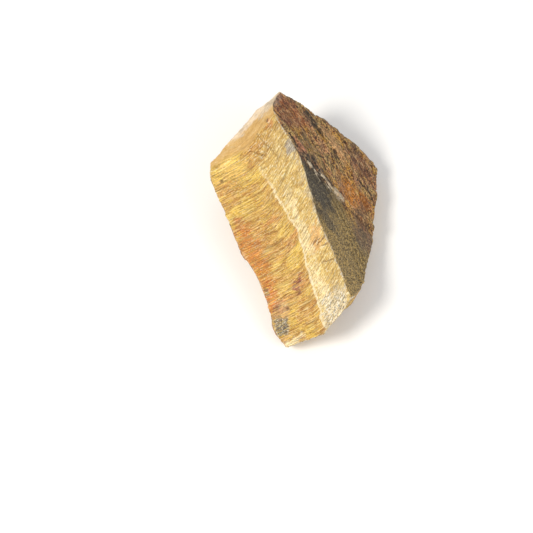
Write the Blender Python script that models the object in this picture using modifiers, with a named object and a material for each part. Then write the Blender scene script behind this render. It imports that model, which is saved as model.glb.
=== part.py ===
# Rough tiger's eye: one lump broken from a seam of fibrous quartz, lying on its flat broken underside.
# The fibres run straight across the seam, from one seam wall to the other. The long way of the stone
# follows the seam, so the broad broken faces show the fibres side-on and the two walls cut them off.

import math

import bmesh
import bpy
from mathutils import Vector, noise

MM = 0.001

# The rough block that the faces are broken from, and the point inside it that they are measured from.
BLOCK_SIZE = 90 * MM
HEART = Vector((0.0, -1.3, 8.0)) * MM

# Each broken face: heading of its outward normal (degrees from +X towards +Y), rise of that normal
# above the horizon (degrees) and distance from the heart (mm).
BREAKS = {
    "fibre_face": (-136.5, 54, 10.5),
    "pale_strip_upper": (-120, 72, 11.3),
    "pale_strip_lower": (-108, 68, 11.5),
    "seam_wall": (1.5, 48.5, 12.6),
    "seam_wall_top": (17, 53.5, 15.1),
    "apex_bevel": (137.5, 44.5, 27.8),
    "shoulder_bevel": (169.5, 56, 19.9),
    "left_wall": (-160, -15, 14.1),
    "left_wall_end": (172, -10, 21.2),
    "tip_chip": (-147.5, -22, 18.4),
    "near_end": (-63, -27, 24.8),
    "near_corner": (-37, -13, 21.7),
    "right_foot": (-17.5, -14, 19.5),
    "right_side": (-4.5, -8, 19.8),
    "right_corner": (38.5, -4, 28.5),
    "far_end": (60, 8, 28.3),
    "far_top": (70, 6, 29.8),
    "far_left": (134.5, -4, 24.6),
}

# The slab missing from the lower half of the seam wall: its floor, and the lip where the slab stops.
# The lip's normal points into the gap.
LEDGE_FLOOR = (3, 46.5, 12.35)
LEDGE_LIP = (-97, 31, -2.8)

# Shallow shell-shaped hollows left by chips: heading and rise of the way in (degrees), radius of the
# hollow's ball (mm) and distance from the heart to the hollow's floor (mm).
SCOOPS = {
    "far_left_scoop": (122, -14, 19, 22.9),
    "far_left_chip": (152, -3, 11, 24.0),
    "left_wall_hollow": (-148, -12.5, 40, 13.9),
    "near_end_scoop": (-66, -20, 17, 22.3),
    "right_scoop": (-16, -30, 15, 16.6),
}

# Directions in the seam: along the fibres and along the seam's length.
FIBRE_HEADING, FIBRE_RISE = 15, 33
SEAM_HEADING, SEAM_RISE = 112.5, 14.5
FIBRE_BEND_START = 2.0 * MM      # across the seam, where the fibres begin to lean along it
FIBRE_BEND_WIDTH = 8.0 * MM      # and over how far they reach their full lean
FIBRE_LEAN = 0.78                 # rise along the seam per length across it, past the bend
WALL_GRAIN_HEADING, WALL_GRAIN_RISE = -50, -16

# Heights of the relief.
SWELL_HEIGHT, SWELL_WIDTH = 0.45 * MM, 12 * MM
LUMP_HEIGHT, LUMP_WIDTH = 0.28 * MM, 5 * MM
RIB_HEIGHT, RIB_WIDTH, RIB_LENGTH = 0.20 * MM, 2.2 * MM, 26 * MM
STEP_HEIGHT, STEP_WIDTH = 0.30 * MM, 5.5 * MM
STEP_WANDER, STEP_WANDER_WIDTH, STEP_WANDER_LENGTH = 0.8, 12 * MM, 9 * MM      # wander in steps
PLATE_HEIGHT, PLATE_WIDTH, PLATE_LENGTH = 0.55 * MM, 4.2 * MM, 30 * MM
PLATE_SPACING, PLATE_WANDER = 10.5 * MM, 1.6                                   # wander in plates
SPLINTER_HEIGHT, SPLINTER_WIDTH, SPLINTER_LENGTH = 0.9 * MM, 4.4 * MM, 26 * MM
SPLINTER_WANDER, SPLINTER_WANDER_WIDTH = 1.3, 6 * MM                           # wander in splinters
WALL_STARTS, WALL_FULL = 0.72, 0.9      # how squarely a face cuts the fibres before it has wall relief
SIDE_FULL, SIDE_STARTS = 0.20, 0.50     # how little a face looks up before it splinters in deep steps
TREAD = 0.55                            # flat share of each step

VOXEL = 0.8 * MM
SOFTEN, SOFTEN_ROUNDS = 0.5, 2      # takes the stair out of the sharp edges
TRIANGLES = 12200
BASE_DEPTH = 3 * MM               # how far the block runs below the underside before that is cut flat
STONE_COLOUR = (0.52, 0.29, 0.07, 1.0)
STONE_ROUGHNESS = 0.55


def direction(heading, rise):
    """Unit vector from a heading and a rise, both in degrees."""
    heading, rise = math.radians(heading), math.radians(rise)
    return Vector((math.cos(rise) * math.cos(heading), math.cos(rise) * math.sin(heading), math.sin(rise)))


FIBRE = direction(FIBRE_HEADING, FIBRE_RISE)
SEAM = direction(SEAM_HEADING, SEAM_RISE)
SEAM = (SEAM - FIBRE * SEAM.dot(FIBRE)).normalized()
FACE = FIBRE.cross(SEAM)
WALL_GRAIN = direction(WALL_GRAIN_HEADING, WALL_GRAIN_RISE)


def smooth_step(start, end, value):
    """0 before start, 1 after end, and a smooth rise between them."""
    t = min(max((value - start) / (end - start), 0.0), 1.0)
    return t * t * (3 - 2 * t)


def break_off(mesh, heading, rise, distance, base_point=HEART):
    """Split the mesh along one plane, drop what lies outside it and close the break."""
    normal = direction(heading, rise)
    geometry = mesh.verts[:] + mesh.edges[:] + mesh.faces[:]
    result = bmesh.ops.bisect_plane(
        mesh, geom=geometry, plane_co=base_point + normal * distance, plane_no=normal, clear_outer=True)
    rim = [item for item in result["geom_cut"] if isinstance(item, bmesh.types.BMEdge)]
    bmesh.ops.holes_fill(mesh, edges=rim)


def add_object(name, mesh, collection):
    """Turn a bmesh into an object in a collection."""
    data = bpy.data.meshes.new(name)
    mesh.to_mesh(data)
    mesh.free()
    item = bpy.data.objects.new(name, data)
    collection.objects.link(item)
    return item


def make_block(collection):
    """The lump with all its broad broken faces, still running on below its underside."""
    mesh = bmesh.new()
    bmesh.ops.create_cube(mesh, size=BLOCK_SIZE)
    break_off(mesh, 0, -90, BASE_DEPTH, Vector())
    for heading, rise, distance in BREAKS.values():
        break_off(mesh, heading, rise, distance * MM)
    return add_object("rough_block", mesh, collection)


def make_ledge_cutter(collection):
    """The slab that came away from the seam wall, below and left of the lip."""
    mesh = bmesh.new()
    bmesh.ops.create_cube(mesh, size=BLOCK_SIZE)
    for heading, rise, distance in (LEDGE_FLOOR, LEDGE_LIP):
        break_off(mesh, heading + 180, -rise, -distance * MM)
    return add_object("ledge_cutter", mesh, collection)


def make_scoop_cutter(name, collection):
    """The ball whose near side is the floor of one hollow."""
    heading, rise, radius, distance = SCOOPS[name]
    mesh = bmesh.new()
    bmesh.ops.create_icosphere(mesh, subdivisions=5, radius=radius * MM)
    cutter = add_object(name, mesh, collection)
    cutter.location = HEART + direction(heading, rise) * (distance + radius) * MM
    return cutter


def grain_level(point):
    """Distance along the seam, followed down each fibre, so that one fibre keeps one level."""
    past_bend = max(point.dot(FIBRE) - FIBRE_BEND_START, 0.0)
    bending = min(past_bend, FIBRE_BEND_WIDTH)
    return point.dot(SEAM) - FIBRE_LEAN * (past_bend - bending + bending ** 2 / (2 * FIBRE_BEND_WIDTH))


def terrace(value):
    """A stair with rounded treads: a slow rise, then a quick step."""
    floor = math.floor(value)
    return floor + smooth_step(TREAD, 1.0, value - floor) - value


def relief(point, normal):
    """Height of the surface over its broad faces at one point."""
    swell = SWELL_HEIGHT * noise.noise(point / SWELL_WIDTH)
    lumps = LUMP_HEIGHT * noise.noise(point / LUMP_WIDTH + Vector((7, 3, 1)))
    on_wall = smooth_step(WALL_STARTS, WALL_FULL, abs(normal.dot(FIBRE)))
    on_side = 1 - smooth_step(SIDE_FULL, SIDE_STARTS, normal.z)

    level = grain_level(point)
    along_fibre, depth = point.dot(FIBRE), point.dot(FACE)
    rib_place = Vector((level / RIB_WIDTH, depth / RIB_WIDTH, along_fibre / RIB_LENGTH))
    wander_place = Vector((
        level / STEP_WANDER_WIDTH, depth / STEP_WANDER_WIDTH, along_fibre / STEP_WANDER_LENGTH))
    ribs = RIB_HEIGHT * noise.noise(rib_place)
    steps = STEP_HEIGHT * terrace(level / STEP_WIDTH + STEP_WANDER * noise.noise(wander_place))
    split_place = Vector((
        level / SPLINTER_WANDER_WIDTH, depth / SPLINTER_WANDER_WIDTH, along_fibre / SPLINTER_LENGTH))
    splinters = on_side * SPLINTER_HEIGHT * terrace(
        depth / SPLINTER_WIDTH + SPLINTER_WANDER * noise.noise(split_place))

    along_grain = point.dot(WALL_GRAIN)
    across_grain = point.dot(WALL_GRAIN.cross(FIBRE))
    plate_place = Vector((across_grain / PLATE_WIDTH, along_grain / PLATE_LENGTH, along_fibre / PLATE_LENGTH))
    plates = PLATE_HEIGHT * terrace(PLATE_WANDER * noise.noise(plate_place) + across_grain / PLATE_SPACING)

    return swell + lumps + (1 - on_wall) * (ribs + steps + splinters) + on_wall * plates


def take_mesh(item):
    """The item's mesh as its modifiers leave it."""
    bpy.context.view_layer.update()
    graph = bpy.context.evaluated_depsgraph_get()
    return bpy.data.meshes.new_from_object(item.evaluated_get(graph), depsgraph=graph)


def raise_relief(data):
    """Push every point out or in along its own normal by the relief there."""
    moved = [vertex.co + vertex.normal * relief(vertex.co, vertex.normal) for vertex in data.vertices]
    for vertex, place in zip(data.vertices, moved):
        vertex.co = place
    data.update()


def stone_material():
    """Tiger's eye, broken and unpolished: golden brown with a dull silk."""
    material = bpy.data.materials.new("raw_tigers_eye")
    material.use_nodes = True
    shader = material.node_tree.nodes["Principled BSDF"]
    shader.inputs["Base Color"].default_value = STONE_COLOUR
    shader.inputs["Roughness"].default_value = STONE_ROUGHNESS
    shader.inputs["Metallic"].default_value = 0.0
    return material


def make_stone(parts, cutters):
    """The finished lump: faces broken, slab gone, relief raised, points thinned and underside cut flat."""
    block = make_block(cutters)
    bites = [make_ledge_cutter(cutters)] + [make_scoop_cutter(name, cutters) for name in SCOOPS]
    for cutter in bites:
        bite = block.modifiers.new(cutter.name, "BOOLEAN")
        bite.operation = "DIFFERENCE"
        bite.solver = "EXACT"
        bite.object = cutter
    remesh = block.modifiers.new("even_points", "REMESH")
    remesh.mode = "VOXEL"
    remesh.voxel_size = VOXEL
    soften = block.modifiers.new("soft_edges", "SMOOTH")
    soften.factor = SOFTEN
    soften.iterations = SOFTEN_ROUNDS

    stone = bpy.data.objects.new("tigers_eye_stone", take_mesh(block))
    parts.objects.link(stone)
    raise_relief(stone.data)
    thin = stone.modifiers.new("thin", "DECIMATE")
    thin.ratio = TRIANGLES / (2 * len(stone.data.polygons))
    thin.use_collapse_triangulate = True
    thinned = take_mesh(stone)
    stone.modifiers.clear()

    mesh = bmesh.new()
    mesh.from_mesh(thinned)
    break_off(mesh, 0, -90, 0, Vector())
    mesh.to_mesh(stone.data)
    mesh.free()
    stone.data.materials.clear()
    stone.data.materials.append(stone_material())
    for guide in [block] + bites:
        guide.hide_render = True
        guide.display_type = "WIRE"


def main():
    for item in list(bpy.data.objects):
        bpy.data.objects.remove(item, do_unlink=True)
    parts = bpy.data.collections.new("rough_tigers_eye")
    cutters = bpy.data.collections.new("cutters")
    bpy.context.scene.collection.children.link(parts)
    bpy.context.scene.collection.children.link(cutters)
    make_stone(parts, cutters)


main()
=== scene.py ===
import math
from functools import partial

import bmesh
import bpy
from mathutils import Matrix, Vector, noise


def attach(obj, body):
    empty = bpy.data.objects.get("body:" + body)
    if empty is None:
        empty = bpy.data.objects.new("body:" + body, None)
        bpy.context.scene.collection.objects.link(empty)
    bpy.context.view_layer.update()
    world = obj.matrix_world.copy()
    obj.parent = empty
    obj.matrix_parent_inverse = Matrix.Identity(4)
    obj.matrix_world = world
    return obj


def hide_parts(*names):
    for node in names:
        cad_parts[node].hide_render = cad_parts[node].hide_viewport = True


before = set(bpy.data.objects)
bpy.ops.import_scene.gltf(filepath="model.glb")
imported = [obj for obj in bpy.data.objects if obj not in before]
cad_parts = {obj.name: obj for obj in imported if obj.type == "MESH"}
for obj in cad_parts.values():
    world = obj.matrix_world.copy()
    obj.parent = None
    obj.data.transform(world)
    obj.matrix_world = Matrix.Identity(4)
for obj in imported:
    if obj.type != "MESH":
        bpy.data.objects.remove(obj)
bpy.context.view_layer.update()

# Rough tiger's eye: one lump broken from a seam of fibrous quartz. The fibres cross the seam from wall
# to wall, so the broad breaks show them side-on as golden thread, and the two walls are brown skin.

mm = 0.001
stoneNode = "tigers_eye_stone"


def linear(hexColour):
    parts = [int(hexColour[i:i + 2], 16) / 255 for i in (1, 3, 5)]
    return tuple(v / 12.92 if v <= 0.04045 else ((v + 0.055) / 1.055) ** 2.4 for v in parts) + (1.0,)


def aim(heading, rise):      # unit vector from a heading (from +X towards +Y) and a rise, in degrees
    heading, rise = math.radians(heading), math.radians(rise)
    return Vector((math.cos(rise) * math.cos(heading), math.cos(rise) * math.sin(heading), math.sin(rise)))


def smoothStep(start, end, value):
    t = min(max((value - start) / (end - start), 0.0), 1.0)
    return t * t * (3 - 2 * t)


def addNode(tree, kind, inputs=None, out=None, stops=None, **settings):
    # inputs maps a socket to a value or to another node's output; gives back the node's own output
    node = tree.nodes.new(kind)
    for name, value in settings.items():
        setattr(node, name, value)
    for place, value in (inputs or {}).items():
        if isinstance(value, bpy.types.NodeSocket):
            tree.links.new(value, node.inputs[place])
        else:
            node.inputs[place].default_value = value
    for number, (place, colour) in enumerate(stops or []):
        elements = node.color_ramp.elements
        element = elements[number] if number < len(elements) else elements.new(place)
        element.position, element.color = place, linear(colour)
    if out is not None:
        return node.outputs[out]
    return next((socket for socket in node.outputs if socket.enabled), node)


# The broken faces: heading and rise of each outward normal in degrees, distance from the heart in mm.
block = {
    "size": 90, "heart": (0.0, -1.3, 8.0), "voxel": 0.28, "soften": 3,
    "breaks": {
        "fibreFace": (-136.5, 54, 10.5),
        "paleStripUpper": (-120, 72, 11.3), "paleStripLower": (-108, 68, 11.5),
        "seamWall": (1.5, 48.5, 12.6), "seamWallTop": (17, 53.5, 15.1),
        "apexBevel": (137.5, 44.5, 27.8), "shoulderBevel": (169.5, 56, 19.9),
        "leftWall": (-160, -15, 14.1), "leftWallEnd": (172, -10, 21.2), "tipChip": (-147.5, -22, 18.4),
        "nearEnd": (-63, -27, 24.8), "nearCorner": (-37, -13, 21.7),
        "rightFoot": (-17.5, -14, 19.5), "rightSide": (-4.5, -8, 19.8), "rightCorner": (38.5, -4, 28.5),
        "farEnd": (60, 8, 28.3), "farTop": (70, 6, 29.8), "farLeft": (134.5, -4, 24.6),
    },
    "ledgeFloor": (3, 46.5, 12.35), "ledgeLip": (-97, 31, -2.8),      # the lip's normal points into the gap
    "scoops": (      # shell-shaped hollows: heading and rise of the way in, radius, distance to the floor
        (122, -14, 19, 22.9), (152, -3, 11, 24.0), (-148, -12.5, 40, 13.9), (-66, -20, 17, 22.3),
        (-16, -30, 15, 16.6)),
}

# The seam's own directions (heading and rise in degrees), and the relief that a hammer blow leaves along
# them: height, width and, where it runs with the grain, length, all in mm.
seam = {
    "fibre": (15, 33), "length": (112.5, 14.5), "wallGrain": (-50, -16),
    "bendStart": 2.0, "bendWidth": 8.0, "lean": 0.78, "sink": 0.32,      # the fibres lean over past the bend
    "swell": (0.45, 12), "lump": (0.28, 5), "rib": (0.20, 2.2, 26), "step": (0.30, 5.5),
    "splinter": (0.9, 4.4, 26), "plate": (0.55, 4.2, 30), "underside": (0.7, 3.5),
    "wander": 0.8, "splinterWander": 1.3, "plateWander": 1.6,      # how far off straight, in treads
    "wallFacing": (0.72, 0.9), "sideFacing": (0.20, 0.50), "floorFacing": (0.85, 0.98),
}
heart = Vector(block["heart"])
fibre = aim(*seam["fibre"])
along = aim(*seam["length"])
along = (along - fibre * along.dot(fibre)).normalized()
face = fibre.cross(along)
wallGrain = aim(*seam["wallGrain"])
wallCross = wallGrain.cross(fibre)


def breakOff(mesh, heading, rise, distance, start=heart):
    normal = aim(heading, rise)
    geometry = mesh.verts[:] + mesh.edges[:] + mesh.faces[:]
    place = (start + normal * distance) * mm
    cut = bmesh.ops.bisect_plane(mesh, geom=geometry, plane_co=place, plane_no=normal, clear_outer=True)
    bmesh.ops.holes_fill(mesh, edges=[e for e in cut["geom_cut"] if isinstance(e, bmesh.types.BMEdge)])


def newObject(name, mesh, place=(0, 0, 0)):
    data = bpy.data.meshes.new(name)
    mesh.to_mesh(data)
    mesh.free()
    item = bpy.data.objects.new(name, data)
    item.location = place
    bpy.context.scene.collection.objects.link(item)
    return item


def takeMesh(item):      # the item's mesh as its modifiers leave it
    bpy.context.view_layer.update()
    graph = bpy.context.evaluated_depsgraph_get()
    return bpy.data.meshes.new_from_object(item.evaluated_get(graph), depsgraph=graph)


def makeBlock():      # broad breaks, the slab gone from the wall and the shell-shaped hollows, in even points
    mesh = bmesh.new()
    bmesh.ops.create_cube(mesh, size=block["size"] * mm)
    breakOff(mesh, 0, -90, 0, Vector())
    for turn in block["breaks"].values():
        breakOff(mesh, *turn)
    item = newObject("roughBlock", mesh)

    mesh = bmesh.new()
    bmesh.ops.create_cube(mesh, size=block["size"] * mm)
    for heading, rise, distance in (block["ledgeFloor"], block["ledgeLip"]):
        breakOff(mesh, heading + 180, -rise, -distance)
    bites = [newObject("ledgeCutter", mesh)]
    for heading, rise, radius, distance in block["scoops"]:
        mesh = bmesh.new()
        bmesh.ops.create_icosphere(mesh, subdivisions=5, radius=radius * mm)
        bites.append(newObject("scoopCutter", mesh, (heart + aim(heading, rise) * (distance + radius)) * mm))
    for cutter in bites:
        bite = item.modifiers.new(cutter.name, "BOOLEAN")
        bite.operation, bite.solver, bite.object = "DIFFERENCE", "EXACT", cutter
    even = item.modifiers.new("evenPoints", "REMESH")
    even.mode, even.voxel_size = "VOXEL", block["voxel"] * mm
    soft = item.modifiers.new("softEdges", "SMOOTH")
    soft.factor, soft.iterations = 0.5, block["soften"]
    data = takeMesh(item)
    for old in [item] + bites:
        bpy.data.objects.remove(old, do_unlink=True)
    return data


def grainLevel(at):      # distance along the seam followed down each fibre, so one fibre keeps one level
    past = max(at.dot(fibre) - seam["bendStart"], 0.0)
    bending = min(past, seam["bendWidth"])
    return at.dot(along) - seam["lean"] * (past - bending + bending ** 2 / (2 * seam["bendWidth"]))


def terrace(value):      # a stair with rounded treads
    floor = math.floor(value)
    return floor + smoothStep(0.55, 1.0, value - floor) - value


def relief(at, normal):      # mm above the broad faces
    swellHeight, swellWidth = seam["swell"]
    lumpHeight, lumpWidth = seam["lump"]
    ribHeight, ribWidth, ribLength = seam["rib"]
    stepHeight, stepWidth = seam["step"]
    splinterHeight, splinterWidth, splinterLength = seam["splinter"]
    plateHeight, plateWidth, plateLength = seam["plate"]
    level, across, depth = grainLevel(at), at.dot(fibre), at.dot(face)
    onWall = smoothStep(*seam["wallFacing"], abs(normal.dot(fibre)))
    onSide = 1 - smoothStep(*seam["sideFacing"], normal.z)
    height = swellHeight * noise.noise(at / swellWidth)
    height += lumpHeight * noise.noise(at / lumpWidth + Vector((7, 3, 1)))
    ribs = ribHeight * noise.noise(Vector((level / ribWidth, depth / ribWidth, across / ribLength)))
    wander = seam["wander"] * noise.noise(Vector((level / 12, depth / 12, across / 9)))
    steps = stepHeight * terrace(level / stepWidth + wander)
    wander = seam["splinterWander"] * noise.noise(Vector((level / 6, depth / 6, across / splinterLength)))
    steps += onSide * splinterHeight * terrace(depth / splinterWidth + wander)
    grainAlong, grainAcross = at.dot(wallGrain), at.dot(wallCross)
    place = Vector((grainAcross / plateWidth, grainAlong / plateLength, across / plateLength))
    wander = seam["plateWander"] * noise.noise(place)
    plates = plateHeight * terrace(wander + grainAcross / (2.5 * plateWidth))
    return height + (1 - onWall) * (ribs + steps) + onWall * plates


def carve(data):      # push each point along its normal; the underside only ever goes up from the floor
    hollow, hollowWidth = seam["underside"]
    start = [(vertex.co / mm, vertex.normal.copy()) for vertex in data.vertices]
    for vertex, (at, normal) in zip(data.vertices, start):
        place = at + normal * relief(at, normal)
        sunk = hollow * max(noise.noise(at / hollowWidth) - 0.05, 0.0)
        onFloor = smoothStep(*seam["floorFacing"], -normal.z)
        height = max(place.z, 0.0) * (1 - onFloor) + sunk * onFloor
        vertex.co = Vector((place.x, place.y, height)) * mm
    data.update()


# What the eye and the fingertip find along the broken fibres and on the skin. Lengths in mm.
fineRelief = {
    "Bundle Width": 0.9, "Bundle Length": 16.0, "Bundle Height": 0.11,
    "Splinter Width": 1.3, "Splinter Length": 9.0, "Splinter Height": 0.12,
    "Crumble Width": 1.0, "Crumble Height": 0.16, "Chip Width": 2.4, "Edge Crush": 0.35,
    "Skin Grain": 0.7, "Skin Length": 2.2, "Skin Height": 0.22,
    "Flake Width": 2.2, "Flake Length": 9.0, "Flake Height": 0.40, "Ledge Flake Height": 0.04,
    "Ridge Wander": 0.8, "Ridge Width": 0.36, "Side Wander": 8.0,
}
# Where each zone starts and where it is in full, then the amounts there if they aren't 0 and 1. Bulges,
# rises above a plane and places in the seam are in mm, facings are cosines.
zones = {
    "edge": (0.02, 0.12), "hollow": (-0.012, -0.06), "side": (0.50, 0.20),
    "strip": (-0.15, 0.15), "bevel": (-0.1, 0.2), "downTheSide": (-3.6, -2.8), "lineFoot": (-0.14, 0.0),
    "crestWidth": (1.6, 0.9), "crestBulge": (0.03, 0.10),
    "wallFacing": (0.68, 0.82), "lipFacing": (0.5, 0.7), "nearWall": (15.4, 16.2), "farWall": (-1.0, 1.0),
    "floorBlend": (0.0, 9.0, 0.4, 7.0),
    "lipWidth": (1.8, 0.7), "lipBulge": (-0.04, 0.0), "lipSoft": (-7.0, -3.0),
    "lipTop": (4.5, 0.5), "lipFoot": (-15.5, -11.5),
    "bundleCrease": (0.0, 0.12), "stripCrumble": (0.0, 1.0, 1.0, 1.3), "bevelCalm": (0.0, 1.0, 1.0, 0.5),
    "aboveFloor": (0.1 * mm, 0.8 * mm),      # this one in metres
}
# Small pits: place across the seam, along it and in depth, then radius, all in mm.
pits = {"cornerPit": ((-4.3, 18.3, 17.6), 0.5), "lowPit": ((-2.0, -17.5, 17.4), 0.6)}
ends = ("From Min", "From Max", "To Min", "To Max")      # what a row of zones or blends sets, in order


def reliefTree():      # Geometry Nodes: raises the fine relief and stores what the material follows
    tree = bpy.data.node_groups.new("brokenFibre", "GeometryNodeTree")
    add = partial(addNode, tree)
    span = {name: dict(zip(ends, values)) for name, values in zones.items()}
    sides = tree.interface
    sides.new_socket("Geometry", in_out="INPUT", socket_type="NodeSocketGeometry")
    for name in fineRelief:
        sides.new_socket(name, in_out="INPUT", socket_type="NodeSocketFloat")
    sides.new_socket("Material", in_out="INPUT", socket_type="NodeSocketMaterial")
    sides.new_socket("Geometry", in_out="OUTPUT", socket_type="NodeSocketGeometry")
    given = tree.nodes.new("NodeGroupInput").outputs
    position = add("GeometryNodeInputPosition")
    inMm = add("ShaderNodeVectorMath", {0: position, "Scale": 1 / mm}, operation="SCALE")

    # where each point lies in the seam, with the fibres' bend taken out
    axes = {"across": fibre, "long": along, "depth": face, "grain": wallGrain, "skew": wallCross}
    reach = {name: add("ShaderNodeVectorMath", {0: inMm, 1: axis}, "Value", operation="DOT_PRODUCT")
             for name, axis in axes.items()}
    past = add("ShaderNodeMath", {0: reach["across"], 1: seam["bendStart"]}, operation="SUBTRACT")
    past = add("ShaderNodeMath", {0: past, 1: 0.0}, operation="MAXIMUM")
    bending = add("ShaderNodeMath", {0: past, 1: seam["bendWidth"]}, operation="MINIMUM")
    straight = add("ShaderNodeMath", {0: past, 1: bending}, operation="SUBTRACT")
    bending = add("ShaderNodeMath", {0: bending, 1: 2.0}, operation="POWER")
    past = add("ShaderNodeMath", {0: bending, 1: 0.5 / seam["bendWidth"], 2: straight},
               operation="MULTIPLY_ADD")
    level = add("ShaderNodeMath", {0: past, 1: -seam["lean"], 2: reach["long"]}, operation="MULTIPLY_ADD")
    depth = add("ShaderNodeMath", {0: past, 1: seam["sink"], 2: reach["depth"]}, operation="MULTIPLY_ADD")
    seamPlace = add("ShaderNodeCombineXYZ", {0: reach["across"], 1: level, 2: depth})
    wallPlace = add("ShaderNodeCombineXYZ", {0: reach["grain"], 1: reach["skew"], 2: reach["across"]})

    # how the broad surface faces, and where it bulges into an edge or sinks into a corner
    broad = add("GeometryNodeBlurAttribute", {"Value": add("GeometryNodeInputNormal"), "Iterations": 10},
                data_type="FLOAT_VECTOR")
    broad = add("ShaderNodeVectorMath", {0: broad}, operation="NORMALIZE")
    blurred = add("GeometryNodeBlurAttribute", {"Value": inMm, "Iterations": 6}, data_type="FLOAT_VECTOR")
    bulge = add("ShaderNodeVectorMath", {0: inMm, 1: blurred}, operation="SUBTRACT")
    bulge = add("ShaderNodeVectorMath", {0: bulge, 1: broad}, "Value", operation="DOT_PRODUCT")
    edge = add("ShaderNodeMapRange", {"Value": bulge, **span["edge"]})
    hollow = add("ShaderNodeMapRange", {"Value": bulge, **span["hollow"]})

    # which broken face each point belongs to: the plane that it lies nearest to
    breaks = block["breaks"]
    planes = {name: breaks[name] for name in (
        "fibreFace", "paleStripUpper", "paleStripLower", "shoulderBevel", "apexBevel", "seamWall",
        "seamWallTop")}
    planes["ledgeFloor"], planes["ledgeLip"] = block["ledgeFloor"], block["ledgeLip"]
    rise = {}
    for name, (heading, lift, distance) in planes.items():
        axis = aim(heading, lift)
        rise[name] = add("ShaderNodeVectorMath", {0: inMm, 1: axis}, "Value", operation="DOT_PRODUCT")
        rise[name] = add("ShaderNodeMath", {0: rise[name], 1: distance + heart.dot(axis)},
                         operation="SUBTRACT")
    rise["strip"] = add("ShaderNodeMath", {0: rise["paleStripUpper"], 1: rise["paleStripLower"]},
                        operation="MAXIMUM")
    rise["bevel"] = add("ShaderNodeMath", {0: rise["shoulderBevel"], 1: rise["apexBevel"]},
                        operation="MAXIMUM")
    wander = add("ShaderNodeTexNoise", {"Vector": inMm, "Scale": 0.35, "Detail": 4.0, "Roughness": 0.6})
    wander = add("ShaderNodeMath", {0: wander, 1: 0.5}, operation="SUBTRACT")
    near = {}      # the pale strip and the bevel stop a little way down the sides
    for name in ("strip", "bevel"):
        near[name] = add("ShaderNodeMath", {0: wander, 1: given["Side Wander"], 2: rise[name]},
                         operation="MULTIPLY_ADD")
        near[name] = add("ShaderNodeMapRange", {"Value": near[name], **span["downTheSide"]})
    stripRise = add("ShaderNodeMath", {0: rise["strip"], 1: rise["fibreFace"]}, operation="SUBTRACT")
    stripRise = add("ShaderNodeMath", {0: wander, 1: given["Ridge Wander"], 2: stripRise},
                    operation="MULTIPLY_ADD")
    strip = add("ShaderNodeMapRange", {"Value": stripRise, **span["strip"]})
    strip = add("ShaderNodeMath", {0: strip, 1: near["strip"]}, operation="MULTIPLY")
    top = add("ShaderNodeMath", {0: stripRise, 1: 0.0}, operation="MAXIMUM")
    top = add("ShaderNodeMath", {0: top, 1: rise["fibreFace"]})
    bevelRise = add("ShaderNodeMath", {0: rise["bevel"], 1: top}, operation="SUBTRACT")
    bevelRise = add("ShaderNodeMath", {0: wander, 1: given["Ridge Wander"], 2: bevelRise},
                    operation="MULTIPLY_ADD")
    bevel = add("ShaderNodeMapRange", {"Value": bevelRise, **span["bevel"]})
    bevel = add("ShaderNodeMath", {0: bevel, 1: near["bevel"]}, operation="MULTIPLY")
    lines = {}      # pale crushed lines, partly a painted highlight where edges catch the light: where two faces meet, and only on a real edge along the walls
    for name, value in (("ridge", stripRise), ("rim", bevelRise)):
        lines[name] = add("ShaderNodeMapRange", {
            "Value": value, "From Min": given["Ridge Width"], "From Max": 0.0})
        start = add("ShaderNodeMapRange", {"Value": value, **span["lineFoot"]})
        lines[name] = add("ShaderNodeMath", {0: lines[name], 1: start}, operation="MULTIPLY")
    lines["ridge"] = add("ShaderNodeMath", {0: lines["ridge"], 1: bevel},
                         operation="SUBTRACT", use_clamp=True)
    lines["rim"] = add("ShaderNodeMath", {0: lines["rim"], 1: 0.8}, operation="MULTIPLY")
    ridge = add("ShaderNodeMath", {0: lines["ridge"], 1: lines["rim"]}, operation="MAXIMUM")
    ridge = add("ShaderNodeMath", {0: ridge, 1: near["strip"]}, operation="MULTIPLY")
    crest = None
    for name in ("seamWall", "seamWallTop", "ledgeFloor"):
        line = add("ShaderNodeMath", {0: rise["strip"], 1: rise[name]}, operation="SUBTRACT")
        line = add("ShaderNodeMath", {0: line}, operation="ABSOLUTE")
        crest = line if crest is None else add("ShaderNodeMath", {0: crest, 1: line}, operation="MINIMUM")
    crest = add("ShaderNodeMapRange", {"Value": crest, **span["crestWidth"]})
    sharp = add("ShaderNodeMapRange", {"Value": bulge, **span["crestBulge"]})
    crest = add("ShaderNodeMath", {0: crest, 1: sharp}, operation="MULTIPLY")
    crest = add("ShaderNodeMath", {0: crest, 1: near["strip"]}, operation="MULTIPLY")

    # either wall of the seam, from how it faces, and the lip and floor of the missing slab
    facing = {}
    for name, axis in (("wall", fibre), ("lip", aim(*block["ledgeLip"][:2]))):
        facing[name] = add("ShaderNodeVectorMath", {0: broad, 1: axis}, "Value", operation="DOT_PRODUCT")
        facing[name] = add("ShaderNodeMath", {0: facing[name]}, operation="ABSOLUTE")
        facing[name] = add("ShaderNodeMapRange", {"Value": facing[name], **span[name + "Facing"]},
                           interpolation_type="SMOOTHSTEP")
    nearWall = add("ShaderNodeMapRange", {"Value": reach["across"], **span["nearWall"]})
    lip = add("ShaderNodeMath", {0: facing["lip"], 1: nearWall}, operation="MULTIPLY")
    wall = add("ShaderNodeMath", {0: facing["wall"], 1: lip}, operation="MAXIMUM")
    farWall = add("ShaderNodeMapRange", {"Value": reach["across"], **span["farWall"]})
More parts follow.
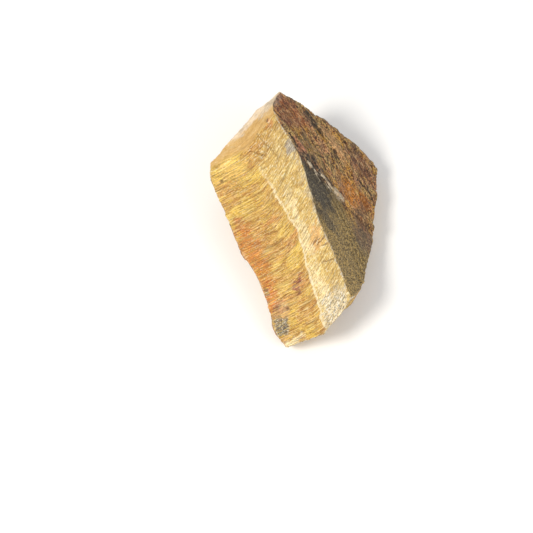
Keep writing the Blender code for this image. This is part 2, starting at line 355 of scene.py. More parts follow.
    # a crisp lip at first, then the floor runs out into the skin
    blend = add("ShaderNodeMapRange", {"Value": reach["grain"], **span["floorBlend"]})
    ledge = add("ShaderNodeMath", {0: rise["ledgeLip"], 1: blend}, operation="DIVIDE", use_clamp=True)
    ledge = add("ShaderNodeMath", {0: ledge, 1: wall}, operation="MULTIPLY")
    ledge = add("ShaderNodeMath", {0: ledge, 1: farWall}, operation="MULTIPLY")
    # the lip's line, where the material paints pale crumbs and a painted highlight
    lip = add("ShaderNodeMath", {0: rise["ledgeLip"]}, operation="ABSOLUTE")
    lip = add("ShaderNodeMapRange", {"Value": lip, **span["lipWidth"]})
    sharp = add("ShaderNodeMapRange", {"Value": bulge, **span["lipBulge"]})
    soft = add("ShaderNodeMapRange", {"Value": reach["grain"], **span["lipSoft"]})
    sharp = add("ShaderNodeMath", {0: sharp, 1: soft}, operation="MAXIMUM")
    lip = add("ShaderNodeMath", {0: lip, 1: sharp}, operation="MULTIPLY")
    lip = add("ShaderNodeMath", {0: lip, 1: wall}, operation="MULTIPLY")
    lip = add("ShaderNodeMath", {0: lip, 1: farWall}, operation="MULTIPLY")
    for end in ("lipTop", "lipFoot"):      # it fades out at both ends
        fade = add("ShaderNodeMapRange", {"Value": reach["grain"], **span[end]})
        lip = add("ShaderNodeMath", {0: lip, 1: fade}, operation="MULTIPLY")
    side = add("ShaderNodeSeparateXYZ", {0: broad}, "Z")
    side = add("ShaderNodeMapRange", {"Value": side, **span["side"]})

    # bundles and splinters along the fibres, flakes along the wall's grain, crumbs anywhere
    shapes = {}
    for name, kind, place, length, width, detail in (
            ("bundle", "Noise", seamPlace, given["Bundle Length"], given["Bundle Width"], 2.0),
            ("splinter", "Voronoi", seamPlace, given["Splinter Length"], given["Splinter Width"], 0.0),
            ("flake", "Voronoi", wallPlace, given["Flake Length"], given["Flake Width"], 0.0),
            ("skin", "Noise", wallPlace, given["Skin Length"], given["Skin Grain"], 3.0),
            ("crumble", "Noise", inMm, given["Crumble Width"], given["Crumble Width"], 3.0),
            ("chip", "Noise", inMm, given["Chip Width"], given["Chip Width"], 2.0)):
        size = add("ShaderNodeCombineXYZ", {0: length, 1: width, 2: width})
        spread = add("ShaderNodeVectorMath", {0: place, 1: size}, operation="DIVIDE")
        shapes[name] = add("ShaderNodeTex" + kind, {"Vector": spread, "Scale": 1.0, "Detail": detail},
                           "Color" if kind == "Voronoi" else 0)
        if kind == "Voronoi":      # each cell takes one random height
            shapes[name] = add("FunctionNodeSeparateColor", {0: shapes[name]})
        shapes[name] = add("ShaderNodeMath", {0: shapes[name], 1: 0.5}, operation="SUBTRACT")
    valley = add("ShaderNodeMath", {0: shapes["bundle"]}, operation="ABSOLUTE")      # creases between bundles
    valley = add("ShaderNodeMapRange", {"Value": valley, **span["bundleCrease"]})

    fibreHeight = add("ShaderNodeMath", {0: valley, 1: given["Bundle Height"]}, operation="MULTIPLY")
    crumbly = add("ShaderNodeMapRange", {"Value": strip, **span["stripCrumble"]})
    crumbly = add("ShaderNodeMath", {0: crumbly, 1: given["Crumble Height"]}, operation="MULTIPLY")
    for shape, rough in (("splinter", given["Splinter Height"]), ("crumble", crumbly)):
        fibreHeight = add("ShaderNodeMath", {0: shapes[shape], 1: rough, 2: fibreHeight},
                          operation="MULTIPLY_ADD")
    calm = add("ShaderNodeMapRange", {"Value": bevel, **span["bevelCalm"]})
    fibreHeight = add("ShaderNodeMath", {0: fibreHeight, 1: calm}, operation="MULTIPLY")
    flakeHeight = add("ShaderNodeMapRange", {
        "Value": ledge, "To Min": given["Flake Height"], "To Max": given["Ledge Flake Height"]})
    skinHeight = add("ShaderNodeMath", {0: shapes["flake"], 1: flakeHeight}, operation="MULTIPLY")
    skinHeight = add("ShaderNodeMath", {0: shapes["skin"], 1: given["Skin Height"], 2: skinHeight},
                     operation="MULTIPLY_ADD")
    height = add("ShaderNodeMix", {"Factor": wall, 2: fibreHeight, 3: skinHeight})
    crush = add("ShaderNodeMath", {0: shapes["chip"], 1: 2.0, 2: shapes["crumble"]}, operation="MULTIPLY_ADD")
    crush = add("ShaderNodeMath", {0: crush, 1: 0.2}, operation="ADD")
    crush = add("ShaderNodeMath", {0: crush, 1: edge}, operation="MULTIPLY")
    crush = add("ShaderNodeMath", {0: crush, 1: given["Edge Crush"]}, operation="MULTIPLY")
    height = add("ShaderNodeMath", {0: height, 1: crush}, operation="SUBTRACT")
    pitMask = None
    for centre, radius in pits.values():
        away = add("ShaderNodeVectorMath", {0: seamPlace, 1: centre}, "Value", operation="DISTANCE")
        sunk = add("ShaderNodeMapRange", {"Value": away, "From Min": radius, "From Max": 0.2 * radius})
        height = add("ShaderNodeMath", {0: sunk, 1: -0.5 * radius, 2: height}, operation="MULTIPLY_ADD")
        pitMask = sunk if pitMask is None else add(
            "ShaderNodeMath", {0: pitMask, 1: sunk}, operation="MAXIMUM")

    # the underside keeps its plane on the floor
    lift = add("ShaderNodeSeparateXYZ", {0: position}, "Z")
    lift = add("ShaderNodeMapRange", {"Value": lift, **span["aboveFloor"]})
    height = add("ShaderNodeMath", {0: height, 1: lift}, operation="MULTIPLY")
    height = add("ShaderNodeMath", {0: height, 1: mm}, operation="MULTIPLY")
    offset = add("ShaderNodeVectorMath", {0: broad, "Scale": height}, operation="SCALE")

    shape = given["Geometry"]
    stored = {"seamPlace": seamPlace, "wallPlace": wallPlace, "wall": wall, "bevel": bevel, "strip": strip,
              "ledge": ledge, "lip": lip, "edge": edge, "hollow": hollow, "ridge": ridge, "crest": crest,
              "valley": valley, "pit": pitMask, "side": side}
    for name, value in stored.items():
        kind = "FLOAT_VECTOR" if name.endswith("Place") else "FLOAT"
        shape = add("GeometryNodeStoreNamedAttribute", {"Geometry": shape, "Name": name, "Value": value},
                    data_type=kind, domain="POINT")
    shape = add("GeometryNodeSetPosition", {"Geometry": shape, "Offset": offset})
    shape = add("GeometryNodeRealizeInstances", {0: shape})
    shape = add("GeometryNodeSetMaterial", {"Geometry": shape, "Material": given["Material"]})
    add("NodeGroupOutput", {0: shape})
    return tree


# Raw tiger's eye, broken by hammer: silky quartz threads in gold and straw, pale where crushed, under a
# brown iron-stained skin. The eye gets a fine gritty streak along the fibres and almost no gloss. Quartz
# has an IOR of 1.54, near enough to the shader's own 1.5.
stoneLook = {
    # each colour scale runs from the dark creases to the bright threads
    "gold": ((0.26, "#926630"), (0.42, "#B8883E"), (0.54, "#CC9C4A"), (0.74, "#EDC570")),
    "lemon": ((0.26, "#AA8236"), (0.42, "#D2A644"), (0.54, "#E6BE54"), (0.74, "#FADE80")),
    "amber": ((0.26, "#8E5A2C"), (0.42, "#B87E3C"), (0.54, "#CC9248"), (0.74, "#EABC70")),
    "bevel": ((0.20, "#B88848"), (0.50, "#DAAE66"), (0.80, "#F0D8A8")),
    "pale": ((0.24, "#AC8644"), (0.42, "#D2A858"), (0.55, "#E6C26E"), (0.74, "#FCE8A6")),
    "rust": ((0.28, "#342014"), (0.43, "#84522E"), (0.56, "#B47444"), (0.74, "#ECB276")),
    "olive": ((0.28, "#342818"), (0.43, "#886A36"), (0.56, "#B6904A"), (0.74, "#EAC27A")),
    "ochre": ((0.28, "#4A2C0E"), (0.43, "#A46820"), (0.56, "#CC8A2C"), (0.74, "#F4C254")),
    "ledge": ((0.26, "#544428"), (0.50, "#A08248"), (0.76, "#DCB86E")),
    # crushed and lip line colours: pale crumbs with a painted highlight; crease and hollow colours: painted
    # shade
    "crushed": "#FDEEC6", "crestPale": "#E4DAC4", "lipTan": "#E2CEAE", "creaseShade": "#80602E", "recessShade": "#3A2818",
    "iron": "#8A5A30", "ironShare": 0.55, "hollowShadeShare": 0.36, "pitShadeShare": 0.9, "bumpHeight": 0.30,
    # a stain's own place wobbles by some mm and its rim is ragged, so that no stain is a plain oval
    "stainWobble": 4.0, "stainRagged": 1.6, "upperWobble": 12.0,
}
# Thread and grain: which way it runs, then length, width and depth in mm, detail and roughness of the
# noise. Real fibres are far below 0.1 mm, so hair and grit are drawn as coarse as they need to show.
patterns = {
    "hair": ("seam", (2.6, 0.20, 0.4), 1.0, 0.6), "thread": ("seam", (8.0, 0.34, 0.7), 2.0, 0.6),
    "band": ("seam", (16.0, 2.4, 4.0), 2.0, 0.5), "blotch": ("seam", (2.4, 1.3, 1.3), 4.0, 0.7),
    "grit": ("seam", (0.42, 0.24, 0.3), 2.0, 0.7), "tone": ("seam", (7.0, 4.0, 5.0), 3.0, 0.6),
    "chalk": ("seam", (0.8, 0.5, 0.5), 3.0, 0.7), "chips": ("wall", (1.3, 0.6, 0.7), 4.0, 0.8),
    "streak": ("wall", (4.0, 0.9, 1.4), 4.0, 0.7), "line": ("wall", (1.4, 0.28, 0.5), 3.0, 0.7),
    "speckle": ("wall", (0.38, 0.28, 0.3), 2.0, 0.7), "cloud": ("wall", (4.5, 1.8, 3.0), 4.0, 0.65),
    "drift": ("wall", (8.0, 3.0, 4.0), 3.0, 0.6),
}
# How much of each pattern goes into a surface.
weaves = {
    "fibre": {"hair": 0.8, "thread": 0.7, "band": 0.12, "blotch": 0.35, "grit": 1.0},
    "pale": {"hair": 0.9, "thread": 0.45, "blotch": 0.35, "grit": 0.9},
    "smooth": {"hair": 0.4, "blotch": 0.6, "tone": 0.5, "grit": 0.4},
    "skin": {"streak": 1.0, "line": 1.4, "speckle": 2.2},
    "ledge": {"speckle": 2.3, "line": 0.2},
}
# Where a shade or mask starts and is in full, then the amounts there if they aren't 0 and 1.
blends = {
    "lemon": (0.52, 0.40), "amber": (0.54, 0.66), "olive": (0.46, 0.54), "ochre": (0.50, 0.60),
    "iron": (0.44, 0.60), "ridgeFade": (22.0, 15.5), "stripTurnsGold": (27.0, 20.0),
    # the crease row sets the painted shade in the creases
    "threadShows": (0.26, 0.74, 0.55, 1.5), "stainRim": (2.05, 1.45), "creaseShade": (0.35, 0.0, 0.0, 0.3),
    "roughness": (0.35, 0.65, 0.70, 0.48),
}
# Crushed lines, pale crumbs and partly a painted highlight where an edge catches the light: the pattern that
# breaks them up, colour, where they start and are in full, strength.
crushedHighlightLines = {
    "edge": ("chalk", "crushed", (0.34, 0.62), 0.4), "ridge": ("chalk", "crushed", (0.24, 0.48), 0.85),
    "crest": ("chalk", "crestPale", (0.26, 0.46), 0.9), "lip": ("chips", "lipTan", (0.42, 0.52), 0.9),
}
# Stains: the face, centre and half-widths in mm in that face's own directions, colour, strength.
stains = {
    "topYellow": ("seam", (-1.9, 19.4, 17.5), (5.5, 3.6, 4.0), "#F0CA6A", 0.60),
    "brownTint": ("seam", (-4.0, 15.0, 17.5), (3.5, 3.0, 4.0), "#B87C44", 0.45),
    "redTint": ("seam", (-4.6, 6.8, 17.5), (1.8, 1.6, 3.0), "#C07048", 0.50),
    "redMiddle": ("seam", (-3.4, -0.4, 17.6), (1.5, 1.2, 3.0), "#C8703A", 0.50),
    "redRidge": ("seam", (7.0, -3.6, 17.9), (2.2, 1.0, 3.0), "#C87C48", 0.50),
    "redCentre": ("seam", (2.6, 3.6, 17.5), (2.4, 0.9, 3.0), "#C87C48", 0.45),
    "orangeEdge": ("seam", (-4.9, -3.0, 17.5), (3.4, 9.5, 4.0), "#C07228", 0.80),
    "purplePatch": ("seam", (2.8, -13.4, 17.4), (2.6, 2.1, 3.0), "#C48048", 0.60),
    "redDotA": ("seam", (3.0, -12.6, 17.4), (1.1, 0.8, 2.0), "#864A40", 0.85),
    "redDotB": ("seam", (4.9, -12.3, 17.4), (0.9, 0.6, 2.0), "#96523C", 0.80),
    "redDotC": ("seam", (1.4, -13.9, 17.4), (1.3, 0.9, 2.0), "#8A5044", 0.85),
    "redDotD": ("seam", (2.6, -14.9, 17.4), (0.9, 0.8, 2.0), "#925844", 0.80),
    "rustPatch": ("seam", (-4.9, -13.4, 17.5), (2.0, 3.6, 3.5), "#C8692C", 0.80),
    "pinkPatch": ("seam", (-3.6, -17.4, 17.4), (2.1, 2.2, 3.0), "#CC9C6E", 0.75),
    "rustSpot": ("seam", (-4.3, -16.4, 17.4), (1.2, 0.7, 2.0), "#7C4632", 0.80),
    "leftDark": ("seam", (-5.4, -11.8, 17.5), (1.0, 0.8, 2.0), "#5C4A3C", 0.80),
    "greyQuartz": ("seam", (-5.2, -21.0, 17.5), (1.9, 2.5, 3.0), "#6C6256", 0.95),
    "tipCream": ("seam", (-4.2, -25.4, 17.4), (3.0, 1.1, 3.0), "#F0E0B6", 0.80),
    "topGrey": ("strip", (12.8, 15.2, 17.6), (2.4, 6.0, 4.0), "#B2925E", 0.30),
    "darkSpot": ("seam", (12.0, 21.9, 16.2), (0.5, 0.6, 3.0), "#7A6A5C", 0.80),
    "topRust": ("seam", (12.0, 20.8, 16.6), (1.2, 1.0, 3.0), "#C87A44", 0.60),
    "greyCrest": ("seam", (14.8, 11.2, 17.2), (1.1, 2.3, 3.0), "#ACA294", 0.90),
    "greyEdge": ("strip", (14.8, -1.9, 18.8), (0.9, 10.0, 4.0), "#B8AA90", 0.55),
    "peach": ("strip", (12.0, -9.4, 18.2), (2.2, 2.6, 4.0), "#EEB472", 0.60),
    # painted highlight: a cream band along the lit ridge on the strip's side
    "creamMargin": ("strip", (9.8, -3.0, 18.1), (1.1, 9.0, 3.0), "#FCEABA", 0.50),
    "creamMarginLow": ("strip", (8.3, -17.5, 17.6), (1.2, 6.5, 3.0), "#FCEABA", 0.50),
    "whiteEnd": ("strip", (8.6, -24.6, 17.1), (4.2, 3.6, 4.0), "#E8D6B0", 0.75),
    "apexCream": ("bevel", (13.2, 26.4, 12.8), (3.2, 3.4, 4.5), "#E8D8C0", 0.75),
    "creamRim": ("bevel", (4.6, 28.8, 14.0), (11.5, 2.6, 4.5), "#EFDCC2", 0.75),
    "redTop": ("wall", (-25.6, 2.9, 15.8), (6.0, 4.0, 5.0), "#884628", 0.65),
    "darkStreak": ("wall", (-19.9, -1.8, 18.7), (5.0, 0.9, 4.0), "#3A3028", 0.88),
    "darkPatch": ("wall", (-17.1, 4.1, 17.1), (2.6, 1.2, 4.0), "#443C2E", 0.75),
    "orangeStreak": ("wall", (-21.8, 1.2, 17.4), (4.0, 0.9, 4.0), "#BC7444", 0.65),
    "tanBand": ("wall", (-12.6, -3.0, 20.4), (6.0, 1.3, 4.0), "#DCAA6E", 0.78),
    "oliveTan": ("wall", (-13.8, 5.0, 17.5), (4.0, 2.6, 4.0), "#907848", 0.60),
    "redRight": ("wall", (-5.5, -7.4, 22.3), (6.0, 3.0, 5.0), "#6A3E26", 0.68),
    "orangeLow": ("wall", (-0.3, 0.3, 19.3), (3.4, 2.5, 4.0), "#C47818", 0.88),
    "orangeFoot": ("wall", (3.8, -2.6, 20.2), (3.0, 2.4, 4.0), "#B0641C", 0.75),
    # painted shade under the lip of the ledge
    "underLip": ("wall", (-15.4, 9.6, 15.5), (2.4, 1.6, 4.0), "#5A4030", 0.80),
    "lipPink": ("wall", (-15.6, 8.0, 16.4), (3.0, 0.9, 3.0), "#BC7C5C", 0.85),
    # dark grey facet, darkest along the lip above it: partly painted shade
    "charTop": ("wall", (-7.0, 9.6, 15.8), (8.5, 5.0, 5.0), "#3A3630", 0.90),
    "charLow": ("wall", (2.6, 12.4, 15.3), (4.0, 1.6, 4.0), "#443C32", 0.75),
    "purpleFoot": ("wall", (10.5, 2.6, 17.5), (5.0, 3.4, 5.0), "#68544A", 0.65),
    "brownFoot": ("wall", (6.0, 0.4, 18.9), (2.6, 2.4, 4.0), "#8A6440", 0.70),
}
# Single threads, crumbs and specks: the face or the stain that they lie on and the way they run, length,
# width and depth in mm, where the noise starts and is in full, colour, strength.
flecks = {
    "paleThread": ("fibre", "seam", (4.6, 0.22, 0.5), (0.57, 0.63), "#FAE6A8", 0.60),
    "brownThread": ("fibre", "seam", (7.0, 0.26, 0.6), (0.56, 0.62), "#86602C", 0.48),
    "yellowThread": ("fibre", "seam", (3.4, 0.26, 0.5), (0.57, 0.64), "#F6CC52", 0.55),
    "oliveThread": ("fibre", "seam", (2.8, 0.24, 0.4), (0.58, 0.64), "#A8965E", 0.55),
    "redThread": ("fibre", "seam", (1.6, 0.30, 0.5), (0.62, 0.69), "#BC6A38", 0.55),
    "paleCrumb": ("fibre", "seam", (0.5, 0.26, 0.4), (0.62, 0.68), "#FFF2CC", 0.55),
    "creamThread": ("strip", "seam", (0.8, 0.30, 0.5), (0.56, 0.63), "#FFF4CE", 0.70),
    "ochreThread": ("strip", "seam", (1.3, 0.22, 0.4), (0.58, 0.64), "#B4843E", 0.55),
    "greyCrumb": ("strip", "seam", (0.5, 0.32, 0.4), (0.61, 0.67), "#968668", 0.60),
    "orangeCrumb": ("orangeEdge", "seam", (0.7, 0.42, 0.5), (0.56, 0.64), "#DC8436", 0.80),
    "redCrumb": ("orangeEdge", "seam", (0.6, 0.34, 0.4), (0.57, 0.64), "#9C5A34", 0.70),
    "quartzLight": ("greyQuartz", "seam", (0.50, 0.32, 0.4), (0.55, 0.61), "#E4DAC2", 0.85),
    "quartzDark": ("greyQuartz", "seam", (0.42, 0.30, 0.4), (0.56, 0.62), "#4C463E", 0.80),
    "whiteCrumb": ("whiteEnd", "seam", (0.6, 0.42, 0.4), (0.55, 0.60), "#FFFCF2", 0.85),
    "pepper": ("whiteEnd", "seam", (0.5, 0.42, 0.4), (0.55, 0.60), "#4E4434", 0.80),
    "tanFleck": ("skin", "wall", (1.3, 0.26, 0.5), (0.57, 0.63), "#E2B682", 0.80),
    "orangeFleck": ("skin", "wall", (1.6, 0.36, 0.6), (0.60, 0.68), "#BC6C30", 0.60),
    "darkFleck": ("skin", "wall", (1.0, 0.26, 0.5), (0.57, 0.63), "#2C2018", 0.75),
    "paleGrit": ("ledge", "wall", (0.36, 0.26, 0.3), (0.58, 0.64), "#CCB98C", 0.65),
    "blackGrit": ("ledge", "wall", (0.40, 0.28, 0.3), (0.57, 0.63), "#2A241A", 0.65),
}
# Cracks: the face, both ends in that face's own directions and half-width in mm, colour, strength.
cracks = {
    "crestCrack": ("wall", (-20.4, 8.5, 15.4), (-16.5, 8.9, 16.0), 0.36, "#2E2018", 0.9),
    "bandCrack": ("wall", (-11.1, -1.4, 20.1), (-8.2, -1.5, 20.3), 0.28, "#2E2018", 0.9),
    "cornerCrack": ("wall", (-13.1, 5.2, 17.5), (-10.8, 2.7, 18.3), 0.22, "#2E2018", 0.8),
    "flakeTop": ("wall", (-2.0, -4.1, 21.0), (2.2, -5.8, 21.7), 0.24, "#382416", 0.8),
    "flakeFoot": ("wall", (2.2, -5.8, 21.7), (5.4, -5.7, 21.4), 0.22, "#382416", 0.8),
    "stripCrackA": ("strip", (10.7, -9.7, 18.0), (12.6, -10.9, 18.0), 0.18, "#9A6438", 0.7),
    "stripCrackB": ("strip", (11.7, -11.1, 18.0), (13.9, -11.9, 17.9), 0.20, "#8A5830", 0.7),
    "stripCrackC": ("strip", (12.3, -12.5, 18.0), (13.8, -13.6, 17.8), 0.18, "#9A6438", 0.7),
    "stripCrackD": ("strip", (10.7, -14.8, 17.7), (13.5, -17.5, 17.6), 0.16, "#A87848", 0.6),
    "plateCrackA": ("seam", (8.7, 22.8, 16.9), (11.2, 13.0, 17.3), 0.18, "#B08648", 0.5),
    "plateCrackB": ("seam", (5.6, 20.9, 17.7), (8.5, 16.9, 17.4), 0.18, "#9E6E38", 0.6),
}


def stoneMaterial():
    material = bpy.data.materials.new("rawTigersEyeBroken")
    material.use_nodes = True
    tree = material.node_tree
    shader = tree.nodes["Principled BSDF"]
    add = partial(addNode, tree)
    look = stoneLook
    span = {name: dict(zip(ends, values)) for name, values in blends.items()}

    place = {name: add("ShaderNodeAttribute", out="Vector", attribute_name=name + "Place")
             for name in ("seam", "wall")}
    here = {name: add("ShaderNodeAttribute", out="Fac", attribute_name=name) for name in (
        "wall", "bevel", "strip", "ledge", "lip", "edge", "hollow", "ridge", "crest", "valley", "pit",
        "side")}
    grain = {}
    for name, (way, size, detail, roughness) in patterns.items():
        spread = add("ShaderNodeMapping", {"Vector": place[way], "Scale": [1 / width for width in size]})
        grain[name] = add("ShaderNodeTexNoise", {
            "Vector": spread, "Scale": 1.0, "Detail": detail, "Roughness": roughness})
    weave = {}
    for name, shares in weaves.items():
        weave[name] = 0.5
        for pattern, share in shares.items():
            swing = add("ShaderNodeMath", {0: grain[pattern], 1: 0.5}, operation="SUBTRACT")
            weave[name] = add("ShaderNodeMath", {0: swing, 1: share, 2: weave[name]},
                              operation="MULTIPLY_ADD")
    scale = {name: add("ShaderNodeValToRGB", {0: weave[way]}, stops=look[name]) for name, way in (
        ("gold", "fibre"), ("lemon", "fibre"), ("amber", "fibre"), ("pale", "pale"), ("bevel", "smooth"),
        ("rust", "skin"), ("olive", "skin"), ("ochre", "skin"), ("ledge", "ledge"))}

    # how far each face reaches; towards the upper end the strip turns golden and the ridge fades
    bare = add("ShaderNodeMath", {0: 1.0, 1: here["wall"]}, operation="SUBTRACT")
    plain = add("ShaderNodeMath", {0: bare, 1: here["bevel"]}, operation="SUBTRACT", use_clamp=True)
    where = {
        "seam": bare, "wall": here["wall"], "bevel": here["bevel"], "ledge": here["ledge"],
        "strip": add("ShaderNodeMath", {0: plain, 1: here["strip"]}, operation="MULTIPLY"),
        "fibre": add("ShaderNodeMath", {0: plain, 1: here["strip"]}, operation="SUBTRACT", use_clamp=True),
        "skin": add("ShaderNodeMath", {0: here["wall"], 1: here["ledge"]},
                    operation="SUBTRACT", use_clamp=True),
    }
    upper = add("ShaderNodeSeparateXYZ", {0: place["seam"]}, "Y")
    upper = add("ShaderNodeMath", {0: grain["tone"], 1: look["upperWobble"], 2: upper},
                operation="MULTIPLY_ADD")
    faded = add("ShaderNodeMapRange", {"Value": upper, **span["ridgeFade"]})
    upper = add("ShaderNodeMapRange", {"Value": upper, **span["stripTurnsGold"]})

    # the fibres wander between gold, lemon and amber, the skin between rust, olive and ochre
    wander = {name: add("ShaderNodeMapRange", {"Value": grain[pattern], **span[name]})
              for name, pattern in (("lemon", "tone"), ("amber", "tone"), ("olive", "cloud"),
                                    ("ochre", "drift"), ("iron", "tone"))}
    pale = add("ShaderNodeMath", {0: here["strip"], 1: upper}, operation="MULTIPLY")
    rusty = add("ShaderNodeMath", {0: here["side"], 1: wander["iron"]}, operation="MULTIPLY")
    rusty = add("ShaderNodeMath", {0: rusty, 1: look["ironShare"]}, operation="MULTIPLY")
    olive, ochre = (add("ShaderNodeMath", {0: wander[name], 1: here["wall"]}, operation="MULTIPLY")
                    for name in ("olive", "ochre"))
    colour = scale["gold"]
    for amount, over in (
            (wander["lemon"], scale["lemon"]), (wander["amber"], scale["amber"]), (pale, scale["pale"]),
            (here["bevel"], scale["bevel"]), (rusty, linear(look["iron"])), (here["wall"], scale["rust"]),
            (olive, scale["olive"]), (ochre, scale["ochre"]), (here["ledge"], scale["ledge"])):
        colour = add("ShaderNodeMix", {"Factor": amount, 6: colour, 7: over}, data_type="RGBA")

    # stains let some of the thread show through: each face's directions, ragged pattern and weave
    ways = {"seam": ("seam", "blotch", "fibre"), "strip": ("seam", "blotch", "pale"),
            "bevel": ("seam", "blotch", "smooth"), "wall": ("wall", "streak", "skin")}
    loose = {}
    for way, spread in place.items():
        wobble = add("ShaderNodeTexNoise", {"Vector": spread, "Scale": 0.5, "Detail": 3.0}, "Color")
        wobble = add("ShaderNodeVectorMath", {0: wobble, 1: (0.5, 0.5, 0.5)}, operation="SUBTRACT")
        wobble = add("ShaderNodeVectorMath", {0: wobble, "Scale": look["stainWobble"]}, operation="SCALE")
        loose[way] = add("ShaderNodeVectorMath", {0: spread, 1: wobble})
    # a face's shade is a vector, not a number: Cycles then works out each stain's tint as late as its mask,
    # and its stack has room for all the stains (the stone renders black when it hasn't)
    shade = {}
    for face, (_, _, thread) in ways.items():
        tone = add("ShaderNodeMapRange", {"Value": weave[thread], **span["threadShows"]})
        shade[face] = add("ShaderNodeVectorMath", {0: (1, 1, 1), "Scale": tone}, operation="SCALE")
    for name, (face, centre, reach, tint, strength) in stains.items():
        way, edging = ways[face][:2]
        away = add("ShaderNodeVectorMath", {0: loose[way], 1: centre}, operation="SUBTRACT")
        away = add("ShaderNodeVectorMath", {0: away, 1: reach}, operation="DIVIDE")
        away = add("ShaderNodeVectorMath", {0: away}, "Value", operation="LENGTH")
        ragged = add("ShaderNodeMath", {0: grain[edging], 1: look["stainRagged"], 2: away},
                     operation="MULTIPLY_ADD")
        spot = add("ShaderNodeMapRange", {"Value": ragged, **span["stainRim"], "To Max": strength},
                   interpolation_type="SMOOTHSTEP")
        where[name] = add("ShaderNodeMath", {0: spot, 1: where[face]}, operation="MULTIPLY")
        tint = add("ShaderNodeMix", {"Factor": 1.0, 6: linear(tint), 7: shade[face]},
                   data_type="RGBA", blend_type="MULTIPLY")
        colour = add("ShaderNodeMix", {"Factor": where[name], 6: colour, 7: tint}, data_type="RGBA")

    # single bright and dark threads and specks, each only on its own kind of face; the tint also shifts
    # the noise, so that no two kinds lie on each other
    for face, way, size, (start, full), tint, strength in flecks.values():
        spread = add("ShaderNodeMapping", {"Vector": place[way], "Scale": [1 / width for width in size],
                                           "Location": linear(tint)[:3]})
        fleck = add("ShaderNodeTexNoise", {"Vector": spread, "Scale": 1.0, "Detail": 2.0, "Roughness": 0.6})
        fleck = add("ShaderNodeMapRange", {
            "Value": fleck, "From Min": start, "From Max": full, "To Max": strength})
        fleck = add("ShaderNodeMath", {0: fleck, 1: where[face]}, operation="MULTIPLY")
        colour = add("ShaderNodeMix", {"Factor": fleck, 6: colour, 7: linear(tint)}, data_type="RGBA")

    # cracks, each a wavering dark line
    crack = 0.0
    for face, start, end, width, tint, strength in cracks.values():
        way = ways[face][0]
        wobble = add("ShaderNodeTexNoise", {"Vector": place[way], "Scale": 1.4, "Detail": 2.0}, "Color")
        split = add("ShaderNodeVectorMath", {0: place[way], 1: wobble})
        middle, run = Vector(start) + Vector((0.5, 0.5, 0.5)), Vector(end) - Vector(start)
        away = add("ShaderNodeVectorMath", {0: split, 1: middle}, operation="SUBTRACT")
        share = add("ShaderNodeVectorMath", {0: away, 1: run / run.length_squared}, "Value",
                    operation="DOT_PRODUCT")
        share = add("ShaderNodeMath", {0: share, 1: 0.0}, use_clamp=True)
        share = add("ShaderNodeVectorMath", {0: run, "Scale": share}, operation="SCALE")
        away = add("ShaderNodeVectorMath", {0: away, 1: share}, operation="SUBTRACT")
        # depth hardly counts, so that a crack stays on the rough surface
        away = add("ShaderNodeVectorMath", {0: away, 1: (1, 1, 0.2)}, operation="MULTIPLY")
        away = add("ShaderNodeVectorMath", {0: away}, "Value", operation="LENGTH")
        line = add("ShaderNodeMapRange", {"Value": away, "From Min": width, "From Max": 0.3 * width,
                                          "To Max": strength})
        line = add("ShaderNodeMath", {0: line, 1: where[face]}, operation="MULTIPLY")
        crack = add("ShaderNodeMath", {0: crack, 1: line}, operation="MAXIMUM")
        colour = add("ShaderNodeMix", {"Factor": line, 6: colour, 7: linear(tint)}, data_type="RGBA")

    # crushed edges are pale and broken up, partly a painted highlight where they catch the light; creases,
    # hollows and pits get painted shade
    kept = {"edge": bare, "ridge": faded, "crest": bare, "lip": here["wall"]}
    for name, (pattern, tint, (start, full), strength) in crushedHighlightLines.items():
        chalk = add("ShaderNodeMath", {0: here[name], 1: grain[pattern]}, operation="MULTIPLY")
        chalk = add("ShaderNodeMapRange", {
            "Value": chalk, "From Min": start, "From Max": full, "To Max": strength})
        chalk = add("ShaderNodeMath", {0: chalk, 1: kept[name]}, operation="MULTIPLY")
        colour = add("ShaderNodeMix", {"Factor": chalk, 6: colour, 7: linear(look[tint])}, data_type="RGBA")
    # painted shade: darker in the creases between bundles, in hollows and in pits
    creaseShade = add("ShaderNodeMapRange", {"Value": here["valley"], **span["creaseShade"]})
    creaseShade = add("ShaderNodeMath", {0: creaseShade, 1: plain}, operation="MULTIPLY")
    recessShade = add("ShaderNodeMath", {0: here["hollow"], 1: look["hollowShadeShare"]}, operation="MULTIPLY")
    pit = add("ShaderNodeMath", {0: here["pit"], 1: look["pitShadeShare"]}, operation="MULTIPLY")
    recessShade = add("ShaderNodeMath", {0: recessShade, 1: pit}, operation="MAXIMUM")
    for amount, tint in ((creaseShade, look["creaseShade"]), (recessShade, look["recessShade"])):
        colour = add("ShaderNodeMix", {"Factor": amount, 6: colour, 7: linear(tint)}, data_type="RGBA")
    tree.links.new(colour, shader.inputs["Base Color"])

    # creases are rough, bright threads silky
    rough = add("ShaderNodeMapRange", {"Value": weave["fibre"], **span["roughness"]})
    tree.links.new(rough, shader.inputs["Roughness"])
    bumps = add("ShaderNodeMix", {"Factor": here["wall"], 2: weave["fibre"], 3: weave["skin"]})
    bumps = add("ShaderNodeMath", {0: crack, 1: -1.0, 2: bumps}, operation="MULTIPLY_ADD")
    bump = add("ShaderNodeBump", {"Height": bumps, "Strength": 1.0, "Distance": look["bumpHeight"] * mm})
    tree.links.new(bump, shader.inputs["Normal"])
    return material


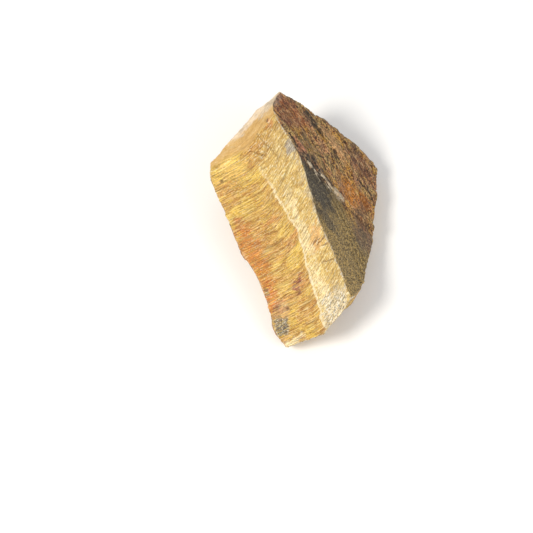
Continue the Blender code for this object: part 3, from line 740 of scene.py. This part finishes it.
def makeStone():
    item = bpy.data.objects.new("rawStone", makeBlock())
    bpy.context.scene.collection.objects.link(item)
    print("block broken", len(item.data.vertices), "points")
    carve(item.data)
    print("relief carved")
    tree = reliefTree()
    work = item.modifiers.new("brokenFibre", "NODES")
    work.node_group = tree
    sockets = {socket.name: socket.identifier for socket in tree.interface.items_tree
               if socket.in_out == "INPUT"}
    for name, value in fineRelief.items():
        work[sockets[name]] = value
    work[sockets["Material"]] = stoneMaterial()
    done = takeMesh(item)
    item.modifiers.clear()
    item.data = done
    done.shade_smooth()
    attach(item, "root")
    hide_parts(stoneNode)
    print("stone finished", len(done.polygons), "faces")


# The camera looks down on the stone along +Y. aimPixel is where the aim point falls in the square frame.
camera = {"rise": 65, "lens": 90, "sensor": 36, "distance": 0.33, "aim": (1.0, -1.1, 12.0),
          "aimPixel": (300, 222), "frame": 533}


def makeCamera():
    data = bpy.data.cameras.new("camera")
    data.lens, data.sensor_width = camera["lens"], camera["sensor"]
    data.clip_start = 0.01
    rise = math.radians(camera["rise"])
    right, up = Vector((1, 0, 0)), Vector((0, math.sin(rise), math.cos(rise)))
    back = Vector((0, -math.cos(rise), math.sin(rise)))
    perPixel = camera["distance"] * camera["sensor"] / (camera["lens"] * camera["frame"])
    middle = camera["frame"] / 2
    shiftX = (camera["aimPixel"][0] - middle) * perPixel
    shiftY = (middle - camera["aimPixel"][1]) * perPixel
    item = bpy.data.objects.new("camera", data)
    item.location = Vector(camera["aim"]) * mm + back * camera["distance"] - right * shiftX - up * shiftY
    item.rotation_euler = (math.pi / 2 - rise, 0, 0)
    bpy.context.scene.collection.objects.link(item)
    bpy.context.scene.camera = item


# Soft studio light round a white sheet: places and sizes in mm, power in watts.
studio = {
    "floor": "#FBFBFA", "room": "#FFFFFF", "roomStrength": 0.62, "floorSize": 3000,
    "lights": {
        "key": {"place": (-300, -170, 420), "size": 190, "power": 2.04, "colour": "#FFFAF2"},
        "fill": {"place": (320, -260, 260), "size": 300, "power": 0.5, "colour": "#F4F7FF"},
    },
}


def makeStudio():
    mesh = bmesh.new()
    bmesh.ops.create_grid(mesh, x_segments=1, y_segments=1, size=studio["floorSize"] / 2 * mm)
    floor = newObject("floor", mesh)
    material = bpy.data.materials.new("paperSweep")      # matt white paper, no gloss
    material.use_nodes = True
    shader = material.node_tree.nodes["Principled BSDF"]
    shader.inputs["Base Color"].default_value = linear(studio["floor"])
    shader.inputs["Roughness"].default_value = 0.95
    floor.data.materials.append(material)
    for name, light in studio["lights"].items():
        data = bpy.data.lights.new(name, "AREA")
        data.shape, data.size = "DISK", light["size"] * mm
        data.energy, data.color = light["power"], linear(light["colour"])[:3]
        item = bpy.data.objects.new(name, data)
        item.location = Vector(light["place"]) * mm
        item.rotation_euler = (heart * mm - item.location).to_track_quat("-Z", "Y").to_euler()
        bpy.context.scene.collection.objects.link(item)
    world = bpy.data.worlds.new("paleRoom")
    world.use_nodes = True
    room = world.node_tree.nodes["Background"].inputs
    room["Color"].default_value = linear(studio["room"])
    room["Strength"].default_value = studio["roomStrength"]
    bpy.context.scene.world = world
    bpy.context.scene.view_settings.view_transform = "Standard"      # colours as a plain studio picture


makeCamera()
makeStone()
makeStudio()
